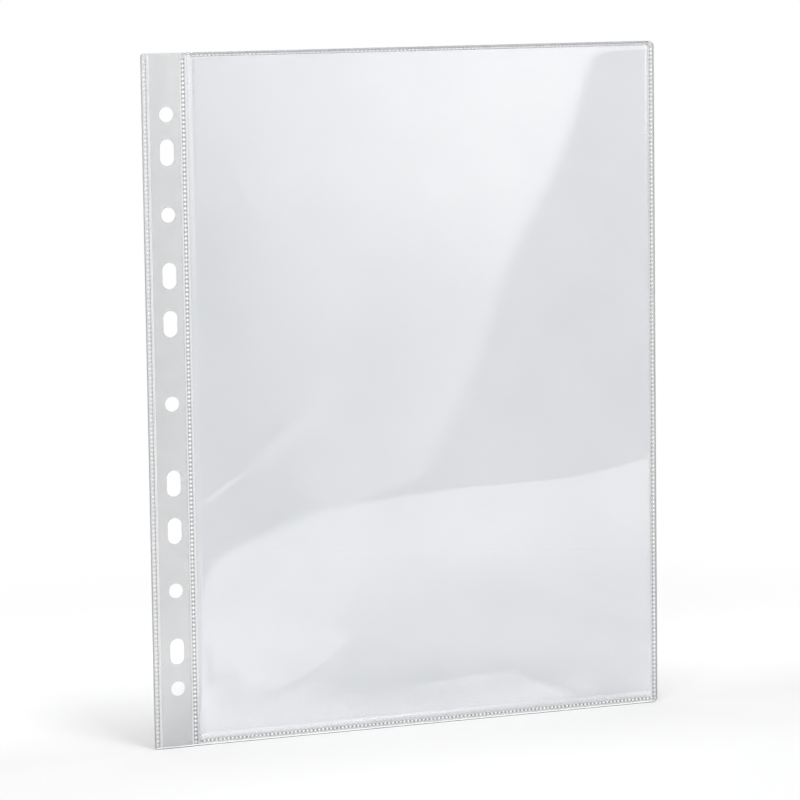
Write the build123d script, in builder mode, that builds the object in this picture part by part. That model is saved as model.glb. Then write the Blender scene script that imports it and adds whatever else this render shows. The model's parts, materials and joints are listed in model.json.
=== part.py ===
import os
from build123d import *

# Punched sheet protector: a clear film pocket, open at the top, on a reinforced binding margin.
# X runs from the binding margin to the free side, Y from front to back and Z up to the mouth.
# The origin is on the axis of the middle ring hole, halfway through the margin.

# Outline
sheet_width = 245.0
sheet_height = 305.0
corner_radius = 1.5

# Film and tape
film_thickness = 0.12
tape_thickness = 0.46
pocket_gap = 0.4  # air between the two pocket films

# Binding margin, from the left edge to the pocket
edge_weld_width = 2.9
tape_width = 15.1
spine_weld_width = 2.2
hinge_width = 0.8  # free film between the spine weld and the pocket, where the page turns

# Ring holes, in one line and paired above and below the middle hole
hole_line = 11.2  # from the left edge
hole_diameter = 6.5
slot_length = 11.5
round_hole_offsets = (82.5, 126.0)
slot_offsets = (35.0, 56.0, 109.5)

# Pocket seams and mouth
side_weld_width = 2.8
bottom_weld_height = 3.4
film_clearance = 0.3  # between the front film and the seams round it
rim_height = 2.2
rim_chamfer = 0.08

# Pressed weld points, one row along the front of each seam and the outside of each rim
bead_pitch = 1.87
bead_width = 1.0
bead_rise = 0.13
edge_bead_inset = 1.4  # row's middle from the left edge
side_bead_inset = 1.35  # from the right edge
bottom_bead_inset = 2.1  # from the bottom edge
rim_bead_inset = 1.2  # from the top edge

# Places worked out from the sizes above
left = -hole_line
right = left + sheet_width
bottom = -sheet_height / 2
top = sheet_height / 2
tape_left = left + edge_weld_width
spine_left = tape_left + tape_width
spine_right = spine_left + spine_weld_width
pocket_left = spine_right + hinge_width
pocket_right = right - side_weld_width
film_bottom = bottom + bottom_weld_height
film_top = top - rim_height
film_face = pocket_gap / 2  # inner face of each pocket film, from the middle plane
rim_thickness = 2 * film_thickness  # film folded once
round_hole_heights = [0] + [sign * z for z in round_hole_offsets for sign in (1, -1)]
slot_heights = [sign * z for z in slot_offsets for sign in (1, -1)]

os.makedirs("parts", exist_ok=True)


def bead_chain(length, face):
    """Outline of a row of weld points: along the first axis, standing on a face at the second."""
    count = int(length / bead_pitch)
    peaks = [((step - count) * bead_pitch / 2, face + bead_rise * (step % 2)) for step in range(2 * count + 1)]
    return [(peaks[0][0], 0)] + peaks + [(peaks[-1][0], 0)]


# Binding margin: a tape between two films, punched together
with BuildSketch(Plane.XZ) as punched_margin:
    with Locations((tape_left + tape_width / 2, 0)):
        Rectangle(tape_width, sheet_height)
    with Locations(*[(0, z) for z in round_hole_heights]):
        Circle(hole_diameter / 2, mode=Mode.SUBTRACT)
    with Locations(*[(0, z) for z in slot_heights]):
        SlotOverall(slot_length, hole_diameter, rotation=90, mode=Mode.SUBTRACT)

with BuildPart() as binding_tape:
    extrude(punched_margin.sketch, amount=tape_thickness / 2, both=True)
binding_tape.part.label = "binding_tape"
export_step(binding_tape.part, "parts/binding_tape.step")

for name, outward in (("margin_front_film", 1), ("margin_back_film", -1)):
    with BuildPart() as margin_film:
        with BuildSketch(Plane.XZ.offset(outward * tape_thickness / 2)):
            add(punched_margin.sketch_local)
        extrude(amount=outward * film_thickness)
    margin_film.part.label = name
    export_step(margin_film.part, f"parts/{name}.step")

# Lengthwise seams: films fused into one band, with a row of weld points on its front
upright_seams = (
    # name, left edge, width, middle of the row, side with rounded corners
    ("edge_weld", left, edge_weld_width, left + edge_bead_inset, 0),
    ("spine_weld", spine_left, spine_weld_width, spine_left + spine_weld_width / 2, None),
    ("side_weld", pocket_right, side_weld_width, right - side_bead_inset, -1),
)
for name, seam_left, seam_width, row_middle, rounded_side in upright_seams:
    with BuildPart() as seam:
        with BuildSketch(Plane.XZ) as band:
            with Locations((seam_left + seam_width / 2, 0)):
                Rectangle(seam_width, sheet_height)
            if rounded_side is not None:
                fillet(band.vertices().group_by(Axis.X)[rounded_side], radius=corner_radius)
        extrude(amount=film_thickness, both=True)
        with BuildSketch(Plane.YZ.offset(row_middle - bead_width / 2)):
            with BuildLine():
                row = bead_chain(sheet_height - 2 * corner_radius, film_thickness)
                Polyline(*[(-across, along) for along, across in row], close=True)
            make_face()
        extrude(amount=bead_width)
    seam.part.label = name
    export_step(seam.part, f"parts/{name}.step")

# Bottom seam of the pocket, between the page hinge and the side seam
pocket_width = pocket_right - pocket_left
pocket_middle = (pocket_left + pocket_right) / 2
with BuildPart() as bottom_weld:
    with BuildSketch(Plane.XZ):
        with Locations((pocket_middle, bottom + bottom_weld_height / 2)):
            Rectangle(pocket_width, bottom_weld_height)
    extrude(amount=film_thickness, both=True)
    with BuildSketch(Plane.XY.offset(bottom + bottom_bead_inset - bead_width / 2)):
        with BuildLine():
            row = bead_chain(pocket_width, film_thickness)
            Polyline(*[(pocket_middle + along, -across) for along, across in row], close=True)
        make_face()
    extrude(amount=bead_width)
bottom_weld.part.label = "bottom_weld"
export_step(bottom_weld.part, "parts/bottom_weld.step")

# Page hinge: both films run on from the spine weld into the pocket
with BuildPart() as film_hinge:
    with BuildSketch(Plane.XZ):
        with Locations((spine_right + hinge_width / 2, 0)):
            Rectangle(hinge_width, sheet_height)
    extrude(amount=film_thickness, both=True)
film_hinge.part.label = "film_hinge"
export_step(film_hinge.part, "parts/film_hinge.step")

# Pocket walls: the back film joins the seams, the front film lies clear of them so that it can lift,
# and each carries a folded rim along the mouth
for side, outward, clearance in (("front", 1, film_clearance), ("back", -1, 0)):
    wall_width = pocket_width - 2 * clearance
    wall_bottom = film_bottom + clearance
    inner_plane = Plane.XZ.offset(outward * film_face)

    with BuildPart() as film:
        with BuildSketch(inner_plane):
            with Locations((pocket_middle, (wall_bottom + film_top) / 2)):
                Rectangle(wall_width, film_top - wall_bottom)
        extrude(amount=outward * film_thickness)
    film.part.label = f"{side}_film"
    export_step(film.part, f"parts/{side}_film.step")

    with BuildPart() as mouth_rim:
        with BuildSketch(inner_plane):
            with Locations((pocket_middle, film_top + rim_height / 2)):
                Rectangle(wall_width, rim_height)
        extrude(amount=outward * rim_thickness)
        chamfer(mouth_rim.edges().filter_by(Axis.X).group_by(Axis.Z)[-1], length=rim_chamfer)
        with BuildSketch(Plane.XY.offset(top - rim_bead_inset - bead_width / 2)):
            with BuildLine():
                row = bead_chain(wall_width, rim_thickness)
                Polyline(
                    *[(pocket_middle + along, -outward * (film_face + across)) for along, across in row],
                    close=True,
                )
            make_face()
        extrude(amount=bead_width)
    mouth_rim.part.label = f"{side}_mouth_rim"
    export_step(mouth_rim.part, f"parts/{side}_mouth_rim.step")
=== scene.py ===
import bmesh
import bpy
import json
import math
from mathutils import Matrix, Vector


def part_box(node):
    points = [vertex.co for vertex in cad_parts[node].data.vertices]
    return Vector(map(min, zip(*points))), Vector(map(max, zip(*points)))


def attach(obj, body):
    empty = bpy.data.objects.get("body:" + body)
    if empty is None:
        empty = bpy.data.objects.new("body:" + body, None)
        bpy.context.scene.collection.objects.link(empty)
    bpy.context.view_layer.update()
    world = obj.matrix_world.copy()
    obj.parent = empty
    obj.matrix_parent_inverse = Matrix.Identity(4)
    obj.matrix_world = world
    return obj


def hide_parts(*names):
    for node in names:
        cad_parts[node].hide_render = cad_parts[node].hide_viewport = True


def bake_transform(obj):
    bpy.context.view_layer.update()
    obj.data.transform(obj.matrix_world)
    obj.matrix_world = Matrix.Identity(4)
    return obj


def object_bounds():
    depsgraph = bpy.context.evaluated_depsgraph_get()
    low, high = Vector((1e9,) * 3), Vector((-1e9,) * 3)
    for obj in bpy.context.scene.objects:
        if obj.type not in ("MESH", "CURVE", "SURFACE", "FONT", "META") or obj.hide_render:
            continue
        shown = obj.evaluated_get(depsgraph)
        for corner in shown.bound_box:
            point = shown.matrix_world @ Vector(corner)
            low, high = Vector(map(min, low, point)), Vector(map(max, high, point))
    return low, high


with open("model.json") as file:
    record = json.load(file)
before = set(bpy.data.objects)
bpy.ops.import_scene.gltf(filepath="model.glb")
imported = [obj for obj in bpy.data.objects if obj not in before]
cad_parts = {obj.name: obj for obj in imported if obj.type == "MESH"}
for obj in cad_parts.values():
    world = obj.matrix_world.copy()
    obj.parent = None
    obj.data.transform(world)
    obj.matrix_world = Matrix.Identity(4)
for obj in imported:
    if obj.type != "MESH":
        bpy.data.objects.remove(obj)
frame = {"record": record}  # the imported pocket, in metres
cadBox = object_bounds()
mm = 0.001

# Lines of the sheet, read from the frame
sheetLow, sheetHigh = cadBox
tapeLow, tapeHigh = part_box("binding_tape")
spineLow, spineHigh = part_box("spine_weld")
filmLow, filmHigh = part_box("back_film")
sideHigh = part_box("side_weld")[1]
middleX = (filmLow.x + filmHigh.x) / 2
sheetHeight = sheetHigh.z - sheetLow.z
sharpAngle = math.radians(55)  # edges that turn more than this stay crisp
paintedFootLines = {"footShadeHeight": 0.38, "highlightHeight": 0.80}  # along the bottom: painted shade on a dark lip, with a painted highlight line above


def linearColour(hexColour):
    channels = [int(hexColour[i:i + 2], 16) / 255 for i in (1, 3, 5)]
    return [c / 12.92 if c <= 0.04045 else ((c + 0.055) / 1.055) ** 2.4 for c in channels] + [1.0]


def addNode(tree, kind, settings=None, links=None):
    node = tree.nodes.new(kind)
    for key, value in (settings or {}).items():
        if isinstance(key, str) and hasattr(node, key):
            setattr(node, key, value)
        else:
            node.inputs[key].default_value = value
    for key, socket in (links or {}).items():
        tree.links.new(socket, node.inputs[key])
    return node


def plasticMaterial(look):
    # A see-through plastic: haze that scatters a little light in each face, and a mirror gloss on top
    material = bpy.data.materials.new(look["name"])
    material.use_nodes = True
    tree = material.node_tree
    tree.nodes.clear()
    place = addNode(tree, "ShaderNodeTexCoord").outputs["Object"]
    cloudScale = 1 / (look["cloudMm"] * mm)
    cloud = addNode(
        tree, "ShaderNodeTexNoise", {"Scale": cloudScale, "Detail": look["cloudDetail"]}, {"Vector": place}
    )
    thin, thick = look["cloudBand"]
    haze = addNode(
        tree,
        "ShaderNodeMapRange",
        {
            "From Min": thin,
            "From Max": thick,
            "To Min": look["haze"] * (1 - look["cloudShare"]),
            "To Max": look["haze"] * (1 + look["cloudShare"]),
        },
        {"Value": cloud.outputs[0]},
    )
    # Drawn lines run up the sheet, as it left the rollers
    grainScale = [1 / (size * mm) for size in look["grainMm"]]
    stretched = addNode(tree, "ShaderNodeMapping", {"Scale": grainScale}, {"Vector": place})
    grain = addNode(
        tree,
        "ShaderNodeTexNoise",
        {"Scale": 1.0, "Detail": look["grainDetail"]},
        {"Vector": stretched.outputs["Vector"]},
    )
    bump = addNode(
        tree,
        "ShaderNodeBump",
        {"Strength": look["grainBump"], "Distance": look["grainDepthMm"] * mm},
        {"Height": grain.outputs[0]},
    )
    smooth, rough = (look["roughness"] * share for share in look["roughnessBand"])
    roughness = addNode(
        tree,
        "ShaderNodeMapRange",
        {"To Min": smooth, "To Max": rough},
        {"Value": grain.outputs[0]},
    )
    body = addNode(
        tree,
        "ShaderNodeBsdfPrincipled",
        {"Base Color": linearColour(look["colour"]), "IOR": look["ior"]},
        {"Roughness": roughness.outputs[0], "Normal": bump.outputs[0]},
    )
    clear = addNode(tree, "ShaderNodeBsdfTransparent")
    hazy = addNode(
        tree, "ShaderNodeMixShader", None, {0: haze.outputs[0], 1: clear.outputs[0], 2: body.outputs[0]}
    )
    gloss = addNode(
        tree,
        "ShaderNodeBsdfAnisotropic",
        None,
        {"Roughness": roughness.outputs[0], "Normal": bump.outputs[0]},
    )
    # The gloss grows from its head-on share to a full mirror at a grazing view, by the fifth power
    facing = addNode(tree, "ShaderNodeLayerWeight", {"Blend": 0.5})
    grazing = addNode(tree, "ShaderNodeMath", {"operation": "POWER", 1: 5.0}, {0: facing.outputs["Facing"]})
    headOn = ((look["ior"] - 1) / (look["ior"] + 1)) ** 2
    mirror = addNode(
        tree,
        "ShaderNodeMath",
        {"operation": "MULTIPLY_ADD", 1: 1 - headOn, 2: headOn},
        {0: grazing.outputs[0]},
    )
    finish = addNode(
        tree, "ShaderNodeMixShader", None, {0: mirror.outputs[0], 1: hazy.outputs[0], 2: gloss.outputs[0]}
    )
    addNode(tree, "ShaderNodeOutputMaterial", None, {"Surface": finish.outputs[0]})
    return material


polypropylene = {  # cast polypropylene: glossy, faintly blue-grey where it stacks up
    "ior": 1.49,
    "cloudMm": 60.0,  # size of the faint clouds in the haze
    "cloudShare": 0.06,
    "cloudDetail": 3.0,
    "cloudBand": (0.3, 0.7),  # where the noise is thinnest and thickest
    "grainMm": (3.0, 3.0, 60.0),  # drawn lines, coarser than real ones so that they show
    "grainDetail": 2.0,
    "grainBump": 0.05,
    "grainDepthMm": 0.01,
    "roughnessBand": (0.7, 1.3),
}
finishes = {  # each one named for how its polypropylene was made, or for the painted shade or highlight that it carries
    # cast film: clear, with a mirror gloss
    "clearFilm": {
        "name": "castPolypropylene",
        "colour": "#aeb4be",
        "haze": 0.145,
        "roughness": 0.02,
        "grainBump": 0.015,
    },
    # bonded to the tape, so it hardly shows
    "laminateFilm": {"name": "bondedPolypropylene", "colour": "#c9cacc", "haze": 0.05, "roughness": 0.2},
    # filled, so it is milky; bonded on both faces, so it has no gloss of its own
    "milkyTape": {
        "name": "filledPolypropylene",
        "colour": "#9ea0a4",
        "haze": 0.24,
        "roughness": 0.35,
        "cloudMm": 9.0,
        "ior": 1.05,
    },
    # both films melted into one: a little greyer
    "fusedFilm": {"name": "fusedPolypropylene", "colour": "#96999f", "haze": 0.19, "roughness": 0.2},
    # pressed flat between the weld points: grey and half dull
    "weldBand": {"name": "pressedPolypropylene", "colour": "#7a7d83", "haze": 0.24, "roughness": 0.25},
    # painted shade: a grey line pressed thin by the weld bar, where it bends light away
    "weldGroove": {"name": "grooveShadePolypropylene", "colour": "#6f7278", "haze": 0.27, "roughness": 0.3},
    # painted shade: dark dots pinched between the bar's teeth, where they bend light away
    "weldPit": {"name": "pitShadePolypropylene", "colour": "#55585e", "haze": 0.70, "roughness": 0.3},
    # painted highlight: white dots where the bar's teeth bit
    "weldPoint": {"name": "pointHighlightPolypropylene", "colour": "#fbfbfb", "haze": 0.85, "roughness": 0.25},
    # painted highlight: a white line along the edge melted and rounded by the hot knife
    "cutEdgeHighlight": {"name": "cutHighlightPolypropylene", "colour": "#ffffff", "haze": 0.90, "roughness": 0.25},
    # painted shade: a grey outline on the rounded edge, where it bends the light aside
    "edgeShade": {"name": "edgeShadePolypropylene", "colour": "#84878c", "haze": 0.60, "roughness": 0.3},
    # folded over at the mouth: twice the haze, still glossy
    "rimFold": {"name": "foldedPolypropylene", "colour": "#898c92", "haze": 0.34, "roughness": 0.15},
    # painted shade: the melted lip of the bottom edge, dark as the contact shade along the floor
    "footShade": {"name": "footShadePolypropylene", "colour": "#4c4f55", "haze": 0.75, "roughness": 0.3},
    # painted highlight: a slope drawn down to a seam, near white as if it caught the light
    "rimLight": {"name": "drawnHighlightPolypropylene", "colour": "#eeeff1", "haze": 0.52, "roughness": 0.4},
}
materials = {key: plasticMaterial({**polypropylene, **look}) for key, look in finishes.items()}
print("materials:", len(materials))


def finishPiece(name, bm, looks, replaced):
    bmesh.ops.recalc_face_normals(bm, faces=bm.faces[:])
    mesh = bpy.data.meshes.new(name)
    bm.to_mesh(mesh)
    bm.free()
    for look in looks:
        mesh.materials.append(materials[look])
    mesh.shade_smooth()
    mesh.set_sharp_from_angle(angle=sharpAngle)
    piece = bpy.data.objects.new(name, mesh)
    bpy.context.scene.collection.objects.link(piece)
    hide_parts(*replaced)
    return piece


def thicken(bm, thickness):
    # The faces become the front of a closed sheet, with its back that far towards +Y
    grown = bmesh.ops.extrude_face_region(bm, geom=bm.faces[:])["geom"]
    back = [v for v in grown if isinstance(v, bmesh.types.BMVert)]
    bmesh.ops.translate(bm, verts=back, vec=(0, thickness, 0))


# Binding margin: a milky tape between two films, punched together
margin = {
    "plyGap": 0.008,  # between the tape and each film
    "drawWidth": 0.55,  # strip along each side where a film is drawn down to the seam
    "drawnTo": 0.135,  # from the middle plane
    "roundSides": 40,
}
plyLooks = ["laminateFilm", "rimLight", "footShade", "cutEdgeHighlight"]


def ringHoles():
    record = frame["record"]
    holes = []
    for mount in record["mounts"]:
        dims = mount["dims"]
        if mount["kind"] == "bore":
            holes.append((0.0, dims["r_mm"] * mm, 0.0))
        else:
            radius = dims["hole_r_mm"] * mm
            stretch = dims["slot_length_mm"] * mm / 2 - radius if "slot_length_mm" in dims else 0.0
            reach = dims["spacing_y_mm"] * mm / 2
            holes += [(reach, radius, stretch), (-reach, radius, stretch)]
    return holes


def punchedSheet(bm, left, right, front):
    # A rectangle with every ring hole, filled between the outlines
    corners = [(left, sheetLow.z), (right, sheetLow.z), (right, sheetHigh.z), (left, sheetHigh.z)]
    outline = [bm.verts.new((x, front, z)) for x, z in corners]
    edges = [bm.edges.new((outline[i - 1], outline[i])) for i in range(4)]
    for height, radius, stretch in ringHoles():
        turned = Matrix.Translation((0, front, height)) @ Matrix.Rotation(math.pi / 2, 4, "X")
        sides = margin["roundSides"]
        ring = bmesh.ops.create_circle(bm, segments=sides, radius=radius, matrix=turned)["verts"]
        for vert in ring:
            vert.co.z += math.copysign(stretch, vert.co.z - height)
        edges += {edge for vert in ring for edge in vert.link_edges}
    bmesh.ops.triangle_fill(bm, use_beauty=True, edges=edges)


def bindingTape():
    bm = bmesh.new()
    inset = margin["plyGap"] * mm
    punchedSheet(bm, tapeLow.x, tapeHigh.x, tapeLow.y + inset)
    thicken(bm, tapeHigh.y - tapeLow.y - 2 * inset)
    return finishPiece("binding_tape_sheet", bm, ["milkyTape"], ["binding_tape"])


def marginFilm(name, node, outward):
    # The film lies on the tape and is drawn down to the seam along both sides
    low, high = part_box(node)
    thickness = high.y - low.y
    draw = margin["drawWidth"] * mm
    bm = bmesh.new()
    punchedSheet(bm, low.x + draw, high.x - draw, low.y)
    for side, x in ((-1, low.x + draw), (1, high.x - draw)):
        border = [e for e in bm.edges if e.is_boundary and all(abs(v.co.x - x) < draw / 10 for v in e.verts)]
        grown = bmesh.ops.extrude_edge_only(bm, edges=border)["geom"]
        for vert in (g for g in grown if isinstance(g, bmesh.types.BMVert)):
            vert.co.x += side * draw
            vert.co.y = outward * margin["drawnTo"] * mm - thickness / 2
        # the drawn-down strips are painted near white: a painted highlight
        for face in (g for g in grown if isinstance(g, bmesh.types.BMFace)):
            face.material_index = plyLooks.index("rimLight")
    # across the bottom: painted shade on the foot, a painted highlight line above it
    for mark in ("highlightHeight", "footShadeHeight"):
        line = (0, 0, sheetLow.z + paintedFootLines[mark] * mm)
        whole = bm.verts[:] + bm.edges[:] + bm.faces[:]
        bmesh.ops.bisect_plane(bm, geom=whole, plane_co=line, plane_no=(0, 0, 1))
    for face in bm.faces:
        height = (face.calc_center_median().z - sheetLow.z) / mm
        if height < paintedFootLines["highlightHeight"]:
            face.material_index = plyLooks.index("footShade" if height < paintedFootLines["footShadeHeight"] else "cutEdgeHighlight")
    thicken(bm, thickness)
    return finishPiece(name, bm, plyLooks, [node])


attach(bindingTape(), "binding_margin")
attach(marginFilm("margin_front_sheet", "margin_front_film", -1), "binding_margin")
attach(marginFilm("margin_back_sheet", "margin_back_film", 1), "binding_margin")
print("margin: tape and two films,", len(ringHoles()), "ring holes")

# Welded seams: a pressed band with ridges and grooves, and rows of weld points
weld = {
    "pitch": 1.87,  # from one weld point to the next
    "clearEnd": 1.5,  # no weld points this near an end of an upright seam
    "capHeight": 1.05,  # the mouth rim's fold runs on across the seam's top
    "outerCorner": 1.5,
    "freeCorner": 2.4,
    "cornerSteps": 6,
    "domeSides": 8,
    "domeRings": 4,
}
seams = {
    # profile: distance from the outer edge, half thickness, finish up to the next line
    # points: distance from the outer edge, half width, half length, half thickness,
    # shift along the seam in pitches, finish
    "edge_weld": {
        "profile": [
            (0.00, 0.06, "edgeShade"), (0.10, 0.17, "edgeShade"), (0.40, 0.17, "edgeShade"),
            (0.52, 0.12, "weldBand"), (2.02, 0.12, "weldGroove"), (2.14, 0.08, "weldGroove"),
            (2.52, 0.08, "weldGroove"), (2.64, 0.12, "rimLight"), (2.90, 0.12, "rimLight"),
        ],
        "points": [(1.35, 0.42, 0.46, 0.24, 0.0, "weldPoint"), (2.33, 0.20, 0.42, 0.13, 0.5, "weldPit")],
    },
    "spine_weld": {
        "profile": [
            (0.00, 0.12, "rimLight"), (0.20, 0.12, "weldGroove"), (0.30, 0.08, "weldGroove"),
            (1.92, 0.08, "weldGroove"), (2.04, 0.12, "fusedFilm"), (2.20, 0.12, "fusedFilm"),
        ],
        "points": [
            (1.10, 0.50, 0.50, 0.25, 0.0, "weldPoint"), (0.52, 0.26, 0.36, 0.14, 0.5, "weldPit"),
            (1.68, 0.26, 0.36, 0.14, 0.5, "weldPit"),
        ],
    },
    "side_weld": {
        "profile": [
            (0.00, 0.06, "edgeShade"), (0.10, 0.17, "edgeShade"), (0.46, 0.17, "edgeShade"),
            (0.58, 0.12, "weldGroove"), (1.92, 0.12, "weldGroove"), (2.04, 0.08, "weldGroove"),
            (2.46, 0.08, "weldGroove"), (2.58, 0.12, "fusedFilm"), (2.80, 0.12, "fusedFilm"),
        ],
        "points": [(1.35, 0.48, 0.50, 0.25, 0.0, "weldPoint"), (2.22, 0.24, 0.46, 0.13, 0.5, "weldPit")],
    },
    "bottom_weld": {
        "profile": [
            (0.00, 0.05, "footShade"), (0.38, 0.17, "cutEdgeHighlight"), (0.70, 0.17, "cutEdgeHighlight"),
            (0.80, 0.12, "fusedFilm"), (1.50, 0.12, "weldGroove"), (1.60, 0.09, "weldGroove"),
            (2.60, 0.09, "weldGroove"), (2.70, 0.12, "fusedFilm"), (3.40, 0.12, "fusedFilm"),
        ],
        "points": [(2.10, 0.50, 0.56, 0.27, 0.0, "weldPoint"), (2.10, 0.30, 0.18, 0.14, 0.5, "weldPit")],
    },
}
seamLooks = [
    "fusedFilm", "rimLight", "weldBand", "weldGroove", "edgeShade", "weldPoint", "weldPit",
    "cutEdgeHighlight", "footShade", "rimFold", "clearFilm",
]


def seamRows(length, upright, radius, capped):
    # Heights of the rows along a seam, and the finish of the stretch above each where it isn't the profile's
    half = length / 2
    foot = paintedFootLines["footShadeHeight"] - half
    cut = paintedFootLines["highlightHeight"] - half
    cap = half - weld["capHeight"]
    heights = [-half, half]
    if upright:
        heights += [foot, cut]
    if capped:
        heights.append(cap)
    if radius:
        steps = weld["cornerSteps"]
        arc = [math.sin(math.pi / 2 * k / steps) * radius for k in range(steps)]
        heights += [half - radius + rise for rise in arc]
        heights += [radius - half - rise for rise in arc]
    rows = []
    for height in sorted(heights):
        look = None
        # the foot of an upright seam is painted: shade on the lip, a highlight line above
        if upright and height < cut:
            look = "footShade" if height < foot else "cutEdgeHighlight"
        if capped and height >= cap:
            look = "rimFold"
        rows.append((height, look))
    return rows


def seamStrip(bm, profile, rows, radius, length):
    # Pressed band in its own axes: X from the outer edge inwards, Z along the seam
    columns = len(profile) - 1
    stretches = len(rows) - 1
    grid = bmesh.ops.create_grid(bm, x_segments=columns, y_segments=stretches, size=0.5)["verts"]
    faces = {face for vert in grid for face in vert.link_faces}
    for face in faces:
        spot = face.calc_center_median()
        band = profile[int((spot.x + 0.5) * columns)][2]
        look = rows[int((spot.y + 0.5) * stretches)][1]
        if look is None or (band, look) == ("edgeShade", "cutEdgeHighlight"):
            look = band  # the painted grey outline runs on round the corner
        face.material_index = seamLooks.index(look)
    for vert in grid:
        across, half, _ = profile[round((vert.co.x + 0.5) * columns)]
        along = rows[round((vert.co.y + 0.5) * stretches)][0]
        beyond = abs(along) - (length / 2 - radius)
        if radius and beyond > 0:
            cutBack = radius - math.sqrt(max(radius ** 2 - beyond ** 2, 0.0))
            across = cutBack + across * (1 - cutBack / profile[-1][0])
        vert.co = (across * mm, -half * mm, along * mm)
    grown = bmesh.ops.extrude_face_region(bm, geom=list(faces))["geom"]
    for vert in (g for g in grown if isinstance(g, bmesh.types.BMVert)):
        vert.co.y = -vert.co.y


def domeRow(bm, spots, size, look):
    # One small dome, carried from spot to spot
    small = bmesh.new()
    upright = Matrix.Rotation(math.pi / 2, 4, "X")  # poles face the viewer
    shape = Matrix.Diagonal([side * mm for side in size] + [1.0]) @ upright
    sides, rings = weld["domeSides"], weld["domeRings"]
    bmesh.ops.create_uvsphere(small, u_segments=sides, v_segments=rings, radius=1.0, matrix=shape)
    for face in small.faces:
        face.material_index = seamLooks.index(look)
    dome = bpy.data.meshes.new("dome")
    small.to_mesh(dome)
    small.free()
    last = Vector((0, 0, 0))
    for spot in spots:
        dome.transform(Matrix.Translation(Vector(spot) - last))
        bm.from_mesh(dome)
        last = Vector(spot)
    bpy.data.meshes.remove(dome)


def weldedSeam(node, place, length, upright=True, radius=0.0, capped=False):
    bm = bmesh.new()
    seamStrip(bm, seams[node]["profile"], seamRows(length, upright, radius, capped), radius, length)
    clear = 2 * weld["clearEnd"] if upright else 0.0
    count = int((length - clear) / weld["pitch"])
    for across, halfWidth, halfLength, halfThick, shift, look in seams[node]["points"]:
        along = [(step - count / 2 + shift) * weld["pitch"] * mm for step in range(count)]
        domeRow(bm, [(across * mm, 0, height) for height in along], (halfWidth, halfThick, halfLength), look)
    bmesh.ops.transform(bm, matrix=place, verts=bm.verts[:])
    return finishPiece(node + "_band", bm, seamLooks, [node])


fullHeight = sheetHeight / mm
pocketWidth = (filmHigh.x - filmLow.x) / mm
flipX = Matrix.Scale(-1, 4, Vector((1, 0, 0)))
lieDown = Matrix.Rotation(-math.pi / 2, 4, "Y")  # turns a seam's length along X
edgePlace = Matrix.Translation((sheetLow.x, 0, 0))
spinePlace = Matrix.Translation((spineLow.x, 0, 0))
sidePlace = Matrix.Translation((sideHigh.x, 0, 0)) @ flipX
bottomPlace = Matrix.Translation((middleX, 0, sheetLow.z)) @ lieDown
edgeBand = weldedSeam("edge_weld", edgePlace, fullHeight, radius=weld["outerCorner"])
spineBand = weldedSeam("spine_weld", spinePlace, fullHeight, capped=True)
sideBand = weldedSeam("side_weld", sidePlace, fullHeight, radius=weld["freeCorner"], capped=True)
bottomBand = weldedSeam("bottom_weld", bottomPlace, pocketWidth, upright=False)
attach(edgeBand, "binding_margin")
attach(spineBand, "binding_margin")
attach(sideBand, "pocket")
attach(bottomBand, "pocket")
print("seams: four welded bands with weld points")

# Pocket films: drawn down to the seams, a gentle pillow between, with the folds of a sheet that was handled
wall = {
    "seamDepth": 0.07,  # middle of each film where it meets a seam, from the sheet's middle plane
    "thickness": 0.12,
    "columns": 72,
    "rows": 220,
    "rowCrowding": 0.4,  # 0 spaces the rows evenly, 1 crowds them most towards both ends
    "pillow": {"front": 0.85, "back": 0.40},
    "backBow": 0.9,  # the back film follows the front one this far
    "riseWidth": {"left": 2.6, "right": 1.9, "bottom": 2.6},
    "foldHeight": -43.5,
    "foldLift": (8.0, 140.0, 90.0),  # the fold's right end: rise, from this x, over this width
    "foldDips": ((40.0, 28.0), (20.0, 9.0)),  # its left end: drop at the spine, and reach
    "ridge": 1.5,  # height of the long fold across the lower pocket
    "ridgeReach": 190.0,  # how far above the fold the film starts to come forward
    "ridgeRound": 0.010,  # how softly its two slopes meet
    "leftSoftness": 60.0,  # they meet about this many times more softly at the spine
    "leftSoftReach": 45.0,
    "footCurl": 0.55,  # the films fall back this much towards the bottom seam
    "footReach": 31.0,
    "rimPull": 0.06,  # the mouth's right half is drawn in
    "rimPullReach": 0.8,
    "rimPullFrom": (145.0, 12.0),  # from this x, over this blend
    "rippleShare": 0.4,  # the ripples have this share of their height above the fold, and 1 more below it
    "rippleFrom": (-40.0, 15.0),  # height where they change, and its blend
}
ripples = [  # height, wavelength, direction in degrees from X, start in turns
    (0.022, 112.0, 32.0, 0.18),
    (0.020, 76.0, 101.0, 0.62),
    (0.008, 41.0, 63.0, 0.35),
]
creases = [  # x and z of the middle, direction in degrees from X, half length, half width, height
    (34.0, -26.4, 33.0, 55.0, 5.0, 0.168),
    (34.0, 93.0, -64.0, 12.0, 1.8, 0.02),
    (140.0, -131.5, 4.0, 26.0, 3.0, 0.03),
    (180.0, -141.0, -26.0, 20.0, 3.0, 0.03),
    (196.0, -104.0, -20.0, 30.0, 6.0, 0.04),
    (30.0, -112.0, 42.0, 26.0, 5.0, 0.03),
    (70.0, -120.0, 30.0, 30.0, 6.0, 0.04),
]


def riseFrom(distance, width):
    # 0 at a seam, 1 past its width, steepest at the seam
    return 1 - max(1 - distance / width, 0.0) ** 2


def foldLine(x):
    # Height of the long soft fold across the lower pocket
    rise, fromX, width = wall["foldLift"]
    line = wall["foldHeight"] + rise * max((x - fromX) / width, 0.0) ** 3
    for drop, reach in wall["foldDips"]:
        line -= drop * math.exp(-(x - filmLow.x / mm) / reach)
    return line


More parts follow.
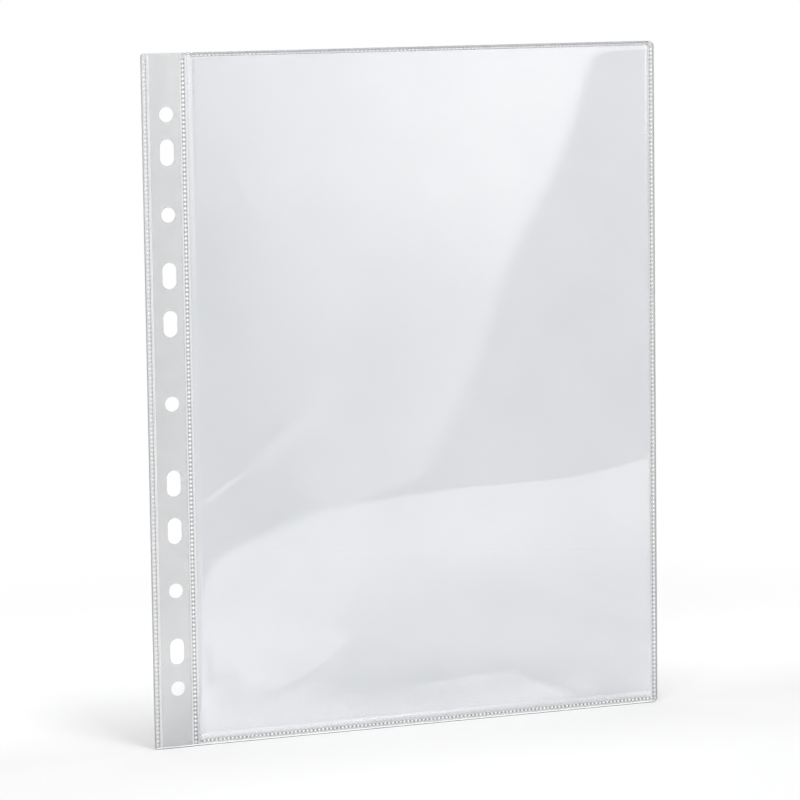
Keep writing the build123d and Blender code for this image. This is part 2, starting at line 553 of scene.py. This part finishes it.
def looseShape(x, z):
    # Ripples and creases of a sheet that was handled
    fromZ, blend = wall["rippleFrom"]
    rippled = wall["rippleShare"] + 1 / (1 + math.exp((z - fromZ) / blend))
    height = 0.0
    for rise, length, turn, start in ripples:
        along = x * math.cos(math.radians(turn)) + z * math.sin(math.radians(turn))
        height += rise * rippled * math.sin(2 * math.pi * (along / length + start))
    for x0, z0, turn, halfLength, halfWidth, rise in creases:
        along = (x - x0) * math.cos(math.radians(turn)) + (z - z0) * math.sin(math.radians(turn))
        across = (z - z0) * math.cos(math.radians(turn)) - (x - x0) * math.sin(math.radians(turn))
        height += rise * math.exp(-(along / halfLength) ** 2 - (across / halfWidth) ** 2)
    return height


def foldShape(x, z):
    # A ridge along the fold line: it comes forward from above and falls back to the bottom seam
    line = foldLine(x)
    above = wall["ridge"] * max(1 + (line - z) / wall["ridgeReach"], 0.0) ** 2
    below = wall["ridge"] * (z - filmLow.z / mm) / (line - filmLow.z / mm)
    soft = 1 + wall["leftSoftness"] * math.exp(-(x - filmLow.x / mm) / wall["leftSoftReach"])
    roundness = wall["ridgeRound"] * soft
    lower, higher = sorted((above, below))
    return lower - roundness * math.log1p(math.exp((lower - higher) / roundness))


def filmDepth(side, x, z):
    # Distance of a film's middle from the sheet's middle plane, all in millimetres
    width = wall["riseWidth"]
    fromSeams = riseFrom(x - filmLow.x / mm, width["left"]) * riseFrom(filmHigh.x / mm - x, width["right"])
    fromSeams *= riseFrom(z - filmLow.z / mm, width["bottom"])
    curl = wall["footCurl"] * max(1 - (z - filmLow.z / mm) / wall["footReach"], 0.0) ** 2
    bowed = foldShape(x, z) + looseShape(x, z) - curl  # both films bow together
    fromX, blend = wall["rimPullFrom"]
    rightHalf = 1 / (1 + math.exp((fromX - x) / blend))
    pull = wall["rimPull"] * rightHalf * math.exp((z - filmHigh.z / mm) / wall["rimPullReach"])
    shape = bowed - pull if side == "front" else -wall["backBow"] * bowed
    return wall["seamDepth"] + fromSeams * (wall["pillow"][side] + shape)


def eased(share):
    return (1 - math.cos(math.pi * share)) / 2  # lines crowd towards both ends


def filmWall(name, side, fromX, toX, columns, replaced):
    bm = bmesh.new()
    bmesh.ops.create_grid(bm, x_segments=columns, y_segments=wall["rows"], size=0.5)
    outward = -1 if side == "front" else 1
    for vert in bm.verts:
        x = fromX + (toX - fromX) * eased(vert.co.x + 0.5)
        even = vert.co.y + 0.5
        share = even + (eased(even) - even) * wall["rowCrowding"]
        z = filmLow.z + (filmHigh.z - filmLow.z) * share
        depth = filmDepth(side, x / mm, z / mm)
        vert.co = (x, (outward * depth - wall["thickness"] / 2) * mm, z)
    thicken(bm, wall["thickness"] * mm)
    return finishPiece(name, bm, ["clearFilm"], replaced)


frontLeft = filmWall("front_film_left", "front", filmLow.x, middleX, wall["columns"], ["front_film"])
frontRight = filmWall("front_film_right", "front", filmHigh.x, middleX, wall["columns"], ["front_film"])
backWall = filmWall("back_film_wall", "back", filmLow.x, filmHigh.x, 2 * wall["columns"], ["back_film"])
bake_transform(frontLeft)
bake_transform(frontRight)
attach(backWall, "pocket")
print("pocket films: front in two halves, back in one")

# Mouth rims: the film's top edge folded over and pressed
rim = {
    # distance below the top edge, half thickness, finish down to the next line
    "profile": [
        (0.00, 0.05, "rimFold"), (0.10, 0.13, "rimFold"), (0.98, 0.13, "rimFold"),
        (1.08, 0.10, "fusedFilm"), (1.64, 0.10, "rimFold"), (1.74, 0.12, "rimFold"),
        (1.92, 0.12, "clearFilm"), (2.20, 0.07, "clearFilm"),
    ],
    "pointDepth": 1.36,  # row of weld points, below the top edge
    "pointSize": (0.46, 0.13, 0.26),  # half sizes along, through and up
    "columns": 48,
}


def mouthRim(name, side, fromX, toX, columns, replaced):
    bm = bmesh.new()
    profile = rim["profile"]
    bands = len(profile) - 1
    outward = -1 if side == "front" else 1
    height = filmHigh.z / mm
    grid = bmesh.ops.create_grid(bm, x_segments=columns, y_segments=bands, size=0.5)["verts"]
    for face in bm.faces:
        band = profile[bands - 1 - int((face.calc_center_median().y + 0.5) * bands)][2]
        face.material_index = seamLooks.index(band)
    backs = {}
    for vert in grid:
        x = fromX + (toX - fromX) * eased(vert.co.x + 0.5)
        down, half, _ = profile[bands - round((vert.co.y + 0.5) * bands)]
        middle = outward * filmDepth(side, x / mm, height) * mm
        vert.co = (x, middle - half * mm, sheetHigh.z - down * mm)
        backs[tuple(vert.co)] = middle + half * mm
    grown = bmesh.ops.extrude_face_region(bm, geom=bm.faces[:])["geom"]
    for vert in (g for g in grown if isinstance(g, bmesh.types.BMVert)):
        vert.co.y = backs[tuple(vert.co)]
    step = math.copysign(weld["pitch"] * mm, toX - fromX)
    spots = []
    for k in range(int(abs(toX - fromX) / (weld["pitch"] * mm))):
        x = fromX + (k + 0.5) * step
        middle = outward * filmDepth(side, x / mm, height) * mm
        spots.append((x, middle, sheetHigh.z - rim["pointDepth"] * mm))
    domeRow(bm, spots, rim["pointSize"], "weldPoint")
    return finishPiece(name, bm, seamLooks, replaced)


rimLeft = mouthRim("front_rim_left", "front", filmLow.x, middleX, rim["columns"], ["front_mouth_rim"])
rimRight = mouthRim("front_rim_right", "front", filmHigh.x, middleX, rim["columns"], ["front_mouth_rim"])
rimBack = mouthRim("back_rim", "back", filmLow.x, filmHigh.x, 2 * rim["columns"], ["back_mouth_rim"])
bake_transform(rimLeft)
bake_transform(rimRight)
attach(rimBack, "pocket")
print("mouth rims: front in two halves, back in one")

# Page hinge: the free film between the spine seam and the pocket
hinge = {"columns": 8, "halfThick": 0.12}


def hingeWeb():
    bm = bmesh.new()
    width = (filmLow.x - spineHigh.x) / mm
    columns = hinge["columns"]
    profile = [(width * k / columns, hinge["halfThick"], "fusedFilm") for k in range(columns + 1)]
    seamStrip(bm, profile, seamRows(fullHeight, True, 0.0, True), 0.0, fullHeight)
    bmesh.ops.translate(bm, verts=bm.verts[:], vec=(spineHigh.x, 0, 0))
    return finishPiece("film_hinge_web", bm, seamLooks, ["film_hinge"])


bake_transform(hingeWeb())
print("page hinge: a free web of film")

# Camera, fitted to the sheet's corners and ring holes
lens = {
    "place": (-538.6, -1590.5, 201.7),
    "yaw": 22.100,
    "pitch": 6.847,
    "roll": -0.781,
    "focal": 174.31,
    "sensor": 36.0,
    "sightMetres": 200.0,
}

# Studio: white floor that keeps the shadow, soft boxes, and a card that only the gloss sees
studio = {
    "floorReach": 40.0,
    "floorTone": 0.90,  # to the light that it scatters
    "floorSeen": ((0.0, 0.83), (0.12, 1.0)),  # to the camera: y and tone under the sheet, and behind it; darker in front to even out the stronger light there, and darker just behind as painted shade that deepens the sheet's shadow
    "nearRadius": 0.24,  # from here to the far radius the floor fades to plain white, to the camera
    "farRadius": 0.50,
    "skyLight": 0.15,
}
softBoxes = {  # place, aimed at, width, height, power in watts
    "overheadBox": ((0.12, 0.02, 1.45), (0.12, 0.0, -0.15), 0.9, 0.9, 15.5),
    "keyBox": ((0.20, -0.75, 1.60), (0.05, 0.0, -0.15), 0.45, 0.45, 12.0),
    "fillBox": ((-0.90, -1.50, 0.50), (0.10, 0.0, 0.0), 0.8, 0.8, 15.0),
}
card = {
    # A wide card far in front that only the gloss sees, laid out in millimetres of the film that mirrors it
    "distance": 6.0,  # metres in front of the sheet
    "span": ((-1500.0, -1900.0), (2000.0, 900.0)),  # x and z of two corners
    "slant": 0.25,  # the left glow leans this much with height
    # name: axis, from, to, value at from, value at to
    "ramps": {
        "upper": ("z", -75.0, -55.0, 0.0, 1.0),
        "upperRight": ("z", 20.0, 150.0, 1.00, 1.48),
        "upperGlow": ("z", 30.0, 150.0, 1.15, 2.55),
        "leftRise": ("slant", 5.0, 85.0, 0.0, 0.55),
        "midRise": ("slant", 70.0, 200.0, 0.0, 0.45),
        "lowerRight": ("z", -160.0, -90.0, 1.45, 2.10),
        "lowerLeft": ("z", -250.0, -165.0, 3.30, 2.00),
        "topStrip": ("z", 160.0, 185.0, 0.0, 3.1),
        "floorStrip": ("z", -275.0, -190.0, 2.2, 0.0),
        "floorFade": ("x", 195.0, 228.0, 1.0, 0.35),
        "seamStrip": ("z", -520.0, -300.0, 1.4, 0.0),
        "leftStrip": ("x", -460.0, -300.0, 1.0, 0.0),
        "leftFade": ("z", 20.0, 150.0, 0.9, 2.3),
        "rightStrip": ("x", 330.0, 420.0, 0.0, 1.0),
        "rightFade": ("z", 50.0, 150.0, 1.0, 4.2),
    },
    # edges of the bright field above and below the fold, as x at height z, and its levels
    "numbers": {
        "upperLean": 0.585,
        "upperStart": 118.7,
        "lowerLean": 0.527,
        "lowerStart": 157.2,
        "edgeSharpness": 0.16,
        "leftLevel": 0.72,
    },
    # name: operation, then its operands in turn
    "steps": [
        ("upperEdge", "MULTIPLY_ADD", "z", "upperLean", "upperStart"),
        ("lowerEdge", "MULTIPLY_ADD", "z", "lowerLean", "lowerStart"),
        ("edgeGap", "SUBTRACT", "upperEdge", "lowerEdge"),
        ("edge", "MULTIPLY_ADD", "edgeGap", "upper", "lowerEdge"),
        ("pastEdge", "SUBTRACT", "x", "edge"),
        ("pastShare", "MULTIPLY_ADD", "pastEdge", "edgeSharpness", 0.5),
        ("leftOfEdge", "SUBTRACT", 1.0, "pastShare"),
        ("leftOfEdge", "MAXIMUM", "leftOfEdge", 0.0),
        ("leftOfEdge", "MINIMUM", "leftOfEdge", 1.0),
        ("rightOfEdge", "SUBTRACT", 1.0, "leftOfEdge"),
        ("glowRise", "ADD", "leftRise", "midRise"),
        ("leftGlow", "MULTIPLY", "upperGlow", "glowRise"),
        ("upperLeft", "ADD", "leftGlow", "leftLevel"),
        ("upperGap", "SUBTRACT", "upperLeft", "upperRight"),
        ("upperLevel", "MULTIPLY_ADD", "upperGap", "leftOfEdge", "upperRight"),
        ("lowerGap", "SUBTRACT", "lowerLeft", "lowerRight"),
        ("lowerLevel", "MULTIPLY_ADD", "lowerGap", "leftOfEdge", "lowerRight"),
        ("levelGap", "SUBTRACT", "upperLevel", "lowerLevel"),
        ("level", "MULTIPLY_ADD", "levelGap", "upper", "lowerLevel"),
        ("leftBand", "MULTIPLY", "leftStrip", "leftFade"),
        ("rightBand", "MULTIPLY", "rightStrip", "rightFade"),
        ("level", "MAXIMUM", "level", "topStrip"),
        ("floorBand", "MULTIPLY", "floorStrip", "rightOfEdge"),
        ("floorBand", "MULTIPLY", "floorBand", "floorFade"),
        ("level", "ADD", "level", "floorBand"),
        ("level", "ADD", "level", "seamStrip"),
        ("level", "MAXIMUM", "level", "leftBand"),
        ("level", "MAXIMUM", "level", "rightBand"),
    ],
}


def seenRays(tree):
    # 1 for rays that look at the backdrop: straight, through the film or in its gloss
    path = addNode(tree, "ShaderNodeLightPath").outputs
    pair = addNode(
        tree, "ShaderNodeMath", {"operation": "MAXIMUM"}, {0: path["Is Camera Ray"], 1: path["Is Glossy Ray"]}
    )
    return addNode(
        tree, "ShaderNodeMath", {"operation": "MAXIMUM"}, {0: pair.outputs[0], 1: path["Is Transmission Ray"]}
    ).outputs[0]


def studioFloor():
    bm = bmesh.new()
    centre = (middleX, 0, sheetLow.z)
    ground = Matrix.Translation(centre)
    bmesh.ops.create_grid(bm, x_segments=1, y_segments=1, size=studio["floorReach"], matrix=ground)
    mesh = bpy.data.meshes.new("studio_floor")
    bm.to_mesh(mesh)
    bm.free()
    material = bpy.data.materials.new("studioPaper")
    material.use_nodes = True
    tree = material.node_tree
    tree.nodes.clear()
    place = addNode(tree, "ShaderNodeTexCoord").outputs["Object"]
    away = addNode(tree, "ShaderNodeVectorMath", {"operation": "DISTANCE", 1: centre}, {0: place})
    white = addNode(
        tree,
        "ShaderNodeMapRange",
        {
            "interpolation_type": "SMOOTHSTEP",
            "From Min": studio["nearRadius"],
            "From Max": studio["farRadius"],
        },
        {"Value": away.outputs["Value"]},
    )
    seen = seenRays(tree)
    share = addNode(tree, "ShaderNodeMath", {"operation": "MULTIPLY"}, {0: white.outputs[0], 1: seen})
    (frontY, frontTone), (backY, backTone) = studio["floorSeen"]
    depth = addNode(tree, "ShaderNodeSeparateXYZ", None, {0: place}).outputs["Y"]
    # the tone to the camera darkens towards the sheet's foot: partly evening out the light, partly painted
    # shade
    even = addNode(
        tree,
        "ShaderNodeMapRange",
        {"From Min": frontY, "From Max": backY, "To Min": frontTone, "To Max": backTone},
        {"Value": depth},
    )
    tone = addNode(
        tree,
        "ShaderNodeMapRange",
        {"To Min": studio["floorTone"]},
        {"Value": seen, "To Max": even.outputs[0]},
    )
    paper = addNode(tree, "ShaderNodeBsdfDiffuse", None, {"Color": tone.outputs[0]})
    plain = addNode(tree, "ShaderNodeEmission", {"Strength": 1.0})
    mixed = addNode(
        tree, "ShaderNodeMixShader", None, {0: share.outputs[0], 1: paper.outputs[0], 2: plain.outputs[0]}
    )
    addNode(tree, "ShaderNodeOutputMaterial", None, {"Surface": mixed.outputs[0]})
    mesh.materials.append(material)
    floor = bpy.data.objects.new("studio_floor", mesh)
    bpy.context.scene.collection.objects.link(floor)
    floor.visible_glossy = False  # so that the gloss sees the part of the card that lies below it


def studioCard():
    eye = Vector(lens["place"])
    spread = 1 - card["distance"] / mm / eye.y  # how much wider the card is than the film that mirrors it
    (left, low), (right, high) = card["span"]
    wide = Matrix.Diagonal(((right - left) * spread * mm, (high - low) * spread * mm, 1.0, 1.0))
    middle = Vector(((left + right) / 2, 0, (low + high) / 2))
    place = eye + (middle - eye) * spread
    upright = Matrix.Rotation(math.pi / 2, 4, "X")
    bm = bmesh.new()
    spot = Matrix.Translation((place.x * mm, -card["distance"], place.z * mm))
    bmesh.ops.create_grid(bm, x_segments=1, y_segments=1, size=0.5, matrix=spot @ upright @ wide)
    mesh = bpy.data.meshes.new("studio_card")
    bm.to_mesh(mesh)
    bm.free()
    material = bpy.data.materials.new("studioCard")
    material.use_nodes = True
    tree = material.node_tree
    tree.nodes.clear()
    where = addNode(tree, "ShaderNodeTexCoord").outputs["Object"]
    sides = addNode(tree, "ShaderNodeSeparateXYZ", None, {0: where}).outputs
    values = {}
    for axis, side, start in (("x", sides["X"], eye.x), ("z", sides["Z"], eye.z)):
        scale = addNode(
            tree,
            "ShaderNodeMath",
            {"operation": "MULTIPLY_ADD", 1: 1 / (spread * mm), 2: start - start / spread},
            {0: side},
        )
        values[axis] = scale.outputs[0]
    leaning = addNode(
        tree,
        "ShaderNodeMath",
        {"operation": "MULTIPLY_ADD", 1: card["slant"]},
        {0: values["z"], 2: values["x"]},
    )
    values["slant"] = leaning.outputs[0]
    for name, (axis, low, high, atLow, atHigh) in card["ramps"].items():
        ramp = addNode(
            tree,
            "ShaderNodeMapRange",
            {
                "interpolation_type": "SMOOTHSTEP",
                "From Min": low,
                "From Max": high,
                "To Min": atLow,
                "To Max": atHigh,
            },
            {"Value": values[axis]},
        )
        values[name] = ramp.outputs[0]
    for name, operation, *operands in card["steps"]:
        settings = {"operation": operation}
        links = {}
        for i, operand in enumerate(operands):
            if operand in values:
                links[i] = values[operand]
            else:
                settings[i] = card["numbers"].get(operand, operand)
        values[name] = addNode(tree, "ShaderNodeMath", settings, links).outputs[0]
    glow = addNode(tree, "ShaderNodeEmission", None, {"Strength": values["level"]})
    addNode(tree, "ShaderNodeOutputMaterial", None, {"Surface": glow.outputs[0]})
    mesh.materials.append(material)
    board = bpy.data.objects.new("studio_card", mesh)
    bpy.context.scene.collection.objects.link(board)
    board.visible_camera = False
    board.visible_diffuse = False
    board.visible_transmission = False
    board.visible_shadow = False


def studioSky():
    world = bpy.data.worlds.new("studioSky")
    world.use_nodes = True
    tree = world.node_tree
    tree.nodes.clear()
    strength = addNode(
        tree,
        "ShaderNodeMath",
        {"operation": "MULTIPLY_ADD", 1: 1 - studio["skyLight"], 2: studio["skyLight"]},
        {0: seenRays(tree)},
    )
    sky = addNode(tree, "ShaderNodeBackground", {"Color": (1, 1, 1, 1)}, {"Strength": strength.outputs[0]})
    addNode(tree, "ShaderNodeOutputWorld", None, {"Surface": sky.outputs[0]})
    bpy.context.scene.world = world


def softBox(name, place, aim, width, height, power):
    lamp = bpy.data.lights.new(name, "AREA")
    lamp.shape = "RECTANGLE"
    lamp.size = width
    lamp.size_y = height
    lamp.energy = power
    box = bpy.data.objects.new(name, lamp)
    box.location = place
    box.rotation_euler = (Vector(aim) - Vector(place)).to_track_quat("-Z", "Y").to_euler()
    box.visible_camera = False
    bpy.context.scene.collection.objects.link(box)


studioFloor()
studioSky()
studioCard()
for name, box in softBoxes.items():
    softBox(name, *box)
print("studio: floor, sky, card and", len(softBoxes), "soft boxes")


def studioCamera():
    data = bpy.data.cameras.new("camera")
    data.lens = lens["focal"]
    data.sensor_width = lens["sensor"]
    data.clip_end = lens["sightMetres"]
    camera = bpy.data.objects.new("camera", data)
    yaw, pitch, roll = (math.radians(lens[key]) for key in ("yaw", "pitch", "roll"))
    ahead = Vector((math.sin(yaw) * math.cos(pitch), math.cos(yaw) * math.cos(pitch), -math.sin(pitch)))
    right = Vector((math.cos(yaw), -math.sin(yaw), 0.0))
    up = right.cross(ahead)
    turnedRight = math.cos(roll) * right + math.sin(roll) * up
    turnedUp = math.cos(roll) * up - math.sin(roll) * right
    turn = Matrix((turnedRight, turnedUp, -ahead)).transposed().to_4x4()
    camera.matrix_world = Matrix.Translation(Vector(lens["place"]) * mm) @ turn
    bpy.context.scene.collection.objects.link(camera)
    bpy.context.scene.camera = camera


studioCamera()
bpy.context.scene.view_settings.view_transform = "Standard"
bpy.context.scene.cycles.transparent_max_bounces = 32  # a turned page stacks many clear faces
print("camera set")
